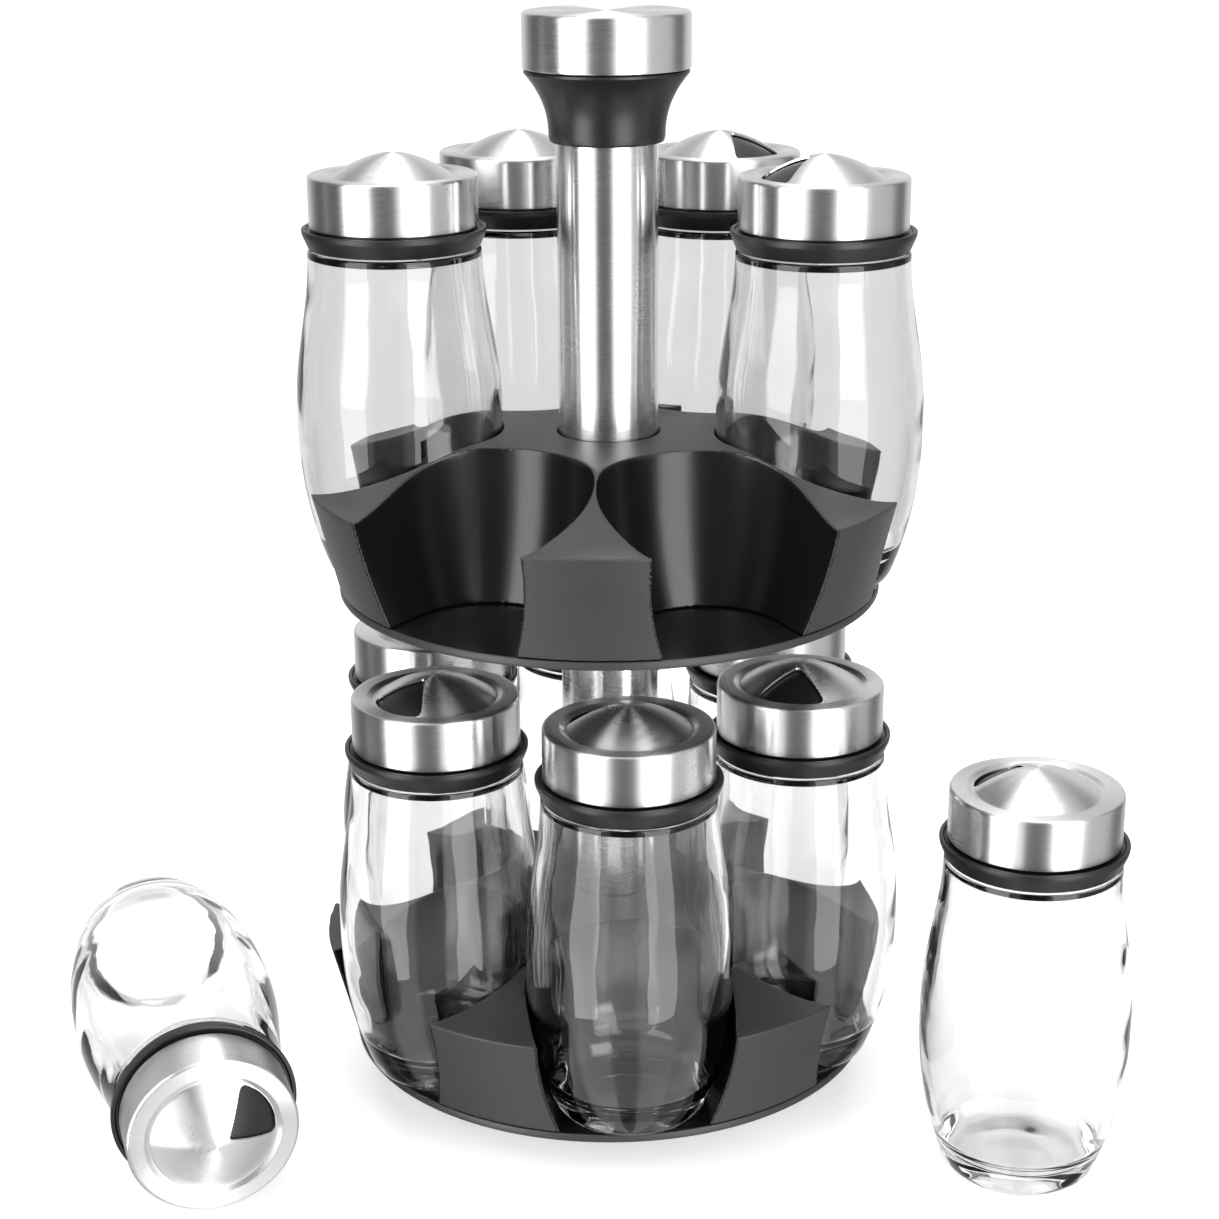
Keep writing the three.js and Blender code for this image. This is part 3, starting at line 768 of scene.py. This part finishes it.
FLOOR_HALF = 4000  # millimetres from its middle to a side
FLOOR_DROP = 0.0002  # metres below the rubber pad
FLOOR_GLOW = 0.55  # its own light, besides what falls on it
FAR_FLOOR = (0.2, 0.45)  # metres from the axis over which it fades to GLASS_SIDES, seen through glass

SKY = 0.62  # brightness of the light from all round on rough surfaces

# The studio as the shiny pieces see it: brightness against azimuth from the front towards the right.
STUDIO_STRIPS = [
    (-180, 0.8), (-150, 0.72), (-132, 0.3), (-118, 0.12), (-104, 0.16), (-98, 0.34), (-92, 0.16), (-74, 0.12),
    (-64, 1.1), (-28, 1.15), (-22, 0.2), (-6, 0.16), (6, 0.22), (14, 1.2), (52, 1.2), (62, 0.66),
    (96, 0.6), (108, 0.24), (124, 0.16), (136, 0.6), (150, 0.74), (180, 0.8),
]
STUDIO_TOP = (40, 60)  # elevations between which the strips give way to the ceiling
CEILING = 0.8  # its brightness
KEY_SPREAD = 0.34  # of the key light overhead, which narrows towards the back
KEY_FOOT = (0.3, 0.5)  # heights on the unit sphere between which the key light fades in, upwards
KEY_FRONT = (-0.4, -0.1)  # and its Y there, between which it fades in from the front
KEY_EDGE = 0.02  # half the width of its soft edge
KEY_LIGHT = 2.4  # its brightness

# What is seen through glass: white beyond the object, grey where a thick edge bends the view sideways.
GLASS_SIDES = [(-180, 0.96), (-135, 0.93), (-112, 0.4), (-60, 0.18), (-20, 0.5), (20, 0.5), (60, 0.18),
               (112, 0.4), (135, 0.93), (180, 0.96)]


def make_camera():
    data = bpy.data.cameras.new("camera")
    data.lens = CAMERA_LENS
    data.sensor_width = 36
    data.clip_start = 0.01
    camera = bpy.data.objects.new("camera", data)
    bpy.context.scene.collection.objects.link(camera)
    tilt = Matrix.Rotation(math.radians(90 - CAMERA_PITCH), 4, "X")
    roll = Matrix.Rotation(math.radians(CAMERA_ROLL), 4, "Z")
    camera.matrix_world = Matrix.Translation((0, -CAMERA_BACK, CAMERA_HEIGHT)) @ tilt @ roll
    bpy.context.scene.camera = camera


def make_floor():
    """White, and a little bright of itself. Seen through glass, its far parts are grey to either side."""
    corners = [(FLOOR_HALF * x, FLOOR_HALF * y, 0) for x, y in ((-1, -1), (1, -1), (1, 1), (-1, 1))]
    floor = mesh_object("floor", corners, [(0, 1, 2, 3)])
    material, nodes, links, shader = new_material("floor_white")
    position = object_coordinates(nodes)
    cloud = add_noise(nodes, links, position, 3, 2)
    links.new(add_ramp(nodes, links, cloud, (0.78,) * 3, (0.8,) * 3), shader.inputs["Base Color"])
    shader.inputs["Roughness"].default_value = 0.7
    shader.inputs["Specular IOR Level"].default_value = 0.2
    shader.inputs["Emission Color"].default_value = (1, 1, 1, 1)
    shader.inputs["Emission Strength"].default_value = FLOOR_GLOW
    split = nodes.new("ShaderNodeSeparateXYZ")
    links.new(position, split.inputs[0])
    x, y, _ = split.outputs
    glow = nodes.new("ShaderNodeEmission")
    links.new(azimuth_ramp(nodes, links, x, y, GLASS_SIDES), glow.inputs["Color"])
    far = add_map(nodes, links, add_radius(nodes, links, x, y), 0.0, 1.0, *FAR_FLOOR)
    through_glass = nodes.new("ShaderNodeLightPath").outputs["Is Transmission Ray"]
    mix = nodes.new("ShaderNodeMixShader")
    links.new(add_math(nodes, links, "MULTIPLY", far, through_glass), mix.inputs[0])
    links.new(shader.outputs[0], mix.inputs[1])
    links.new(glow.outputs[0], mix.inputs[2])
    links.new(mix.outputs[0], nodes["Material Output"].inputs["Surface"])
    floor.data.materials.append(material)
    floor.location.z = -FLOOR_DROP
    floor.visible_glossy = False


def add_light(name, azimuth, height, distance, width, tall, power, mirrored):
    """A soft box facing the object from an azimuth in degrees from the front towards the right."""
    turn = math.radians(azimuth)
    place = Vector((distance * math.sin(turn), -distance * math.cos(turn), height))
    data = bpy.data.lights.new(name, "AREA")
    data.shape = "RECTANGLE"
    data.size = width
    data.size_y = tall
    data.energy = power
    light = bpy.data.objects.new(name, data)
    bpy.context.scene.collection.objects.link(light)
    light.location = place
    light.rotation_mode = "QUATERNION"
    light.rotation_quaternion = (Vector((0, 0, LIGHT_AIM)) - place).to_track_quat("-Z", "Y")
    light.visible_glossy = mirrored


def azimuth_ramp(nodes, links, x, y, strips):
    """A colour ramp over the azimuth of (x, y), -180 to 180 degrees, with a stop for each strip."""
    turn = add_math(nodes, links, "ARCTAN2", x, add_math(nodes, links, "MULTIPLY", y, -1.0))
    ramp = nodes.new("ShaderNodeValToRGB")
    stops = ramp.color_ramp.elements
    while len(stops) < len(strips):
        stops.new(0.5)
    for stop, (angle, value) in zip(stops, strips):
        stop.position = (angle + 180) / 360
        stop.color = (value, value, value, 1)
    links.new(add_map(nodes, links, turn, 0.0, 1.0, -math.pi, math.pi), ramp.inputs["Fac"])
    return ramp.outputs["Color"]


def grey(value):
    return (value, value, value, 1)


def mix_colours(nodes, links, factor, first, second):
    mix = nodes.new("ShaderNodeMix")
    mix.data_type = "RGBA"
    for name, value in (("Factor_Float", factor), ("A_Color", first), ("B_Color", second)):
        socket = next(item for item in mix.inputs if item.identifier == name)
        if isinstance(value, tuple):
            socket.default_value = value
        else:
            links.new(value, socket)
    return next(item for item in mix.outputs if item.identifier == "Result_Color")


def make_world():
    """White to the eye; a ring of light and dark strips to reflections; dark-sided to what glass bends."""
    world = bpy.data.worlds.new("studio")
    bpy.context.scene.world = world
    world.use_nodes = True
    nodes = world.node_tree.nodes
    links = world.node_tree.links
    background = nodes["Background"]
    split = nodes.new("ShaderNodeSeparateXYZ")
    links.new(nodes.new("ShaderNodeTexCoord").outputs["Generated"], split.inputs[0])
    x, y, z = split.outputs
    elevation = add_math(nodes, links, "MULTIPLY", add_math(nodes, links, "ARCSINE", z), 180 / math.pi)
    strips = azimuth_ramp(nodes, links, x, y, STUDIO_STRIPS)
    ceiling = add_map(nodes, links, elevation, 0.0, 1.0, *STUDIO_TOP)
    seen_by_steel = mix_colours(nodes, links, ceiling, strips, grey(CEILING))
    reach = add_math(nodes, links, "MULTIPLY", add_math(nodes, links, "SUBTRACT", y, 1.0), -KEY_SPREAD)
    inside = add_math(nodes, links, "SUBTRACT", reach, add_math(nodes, links, "ABSOLUTE", x))
    key = add_math(nodes, links, "MULTIPLY", add_map(nodes, links, inside, 0.0, 1.0, -KEY_EDGE, KEY_EDGE),
                   add_map(nodes, links, z, 0.0, 1.0, *KEY_FOOT))
    key = add_math(nodes, links, "MULTIPLY", key, add_map(nodes, links, y, 0.0, 1.0, *KEY_FRONT))
    seen_by_steel = mix_colours(nodes, links, key, seen_by_steel, grey(KEY_LIGHT))
    sides = azimuth_ramp(nodes, links, x, y, GLASS_SIDES)
    rays = nodes.new("ShaderNodeLightPath").outputs
    colour = mix_colours(nodes, links, rays["Is Glossy Ray"], grey(SKY), seen_by_steel)
    colour = mix_colours(nodes, links, rays["Is Transmission Ray"], colour, sides)
    colour = mix_colours(nodes, links, rays["Is Camera Ray"], colour, grey(1))
    links.new(colour, background.inputs["Color"])
    background.inputs["Strength"].default_value = 1.0


def make_lights():
    add_light("left_box", azimuth=-49, height=0.3, distance=1.4, width=0.75, tall=2.4, power=22,
              mirrored=True)
    add_light("right_box", azimuth=34, height=0.3, distance=1.4, width=0.8, tall=2.4, power=22,
              mirrored=True)
    add_light("top_box", azimuth=180, height=1.6, distance=0.4, width=1.4, tall=1.0, power=16,
              mirrored=False)
    make_world()
    bpy.context.scene.view_settings.view_transform = "Standard"


make_camera()
make_jars()
make_tiers()
make_post()
make_knob()
dress_hidden_pieces()
make_floor()
make_lights()
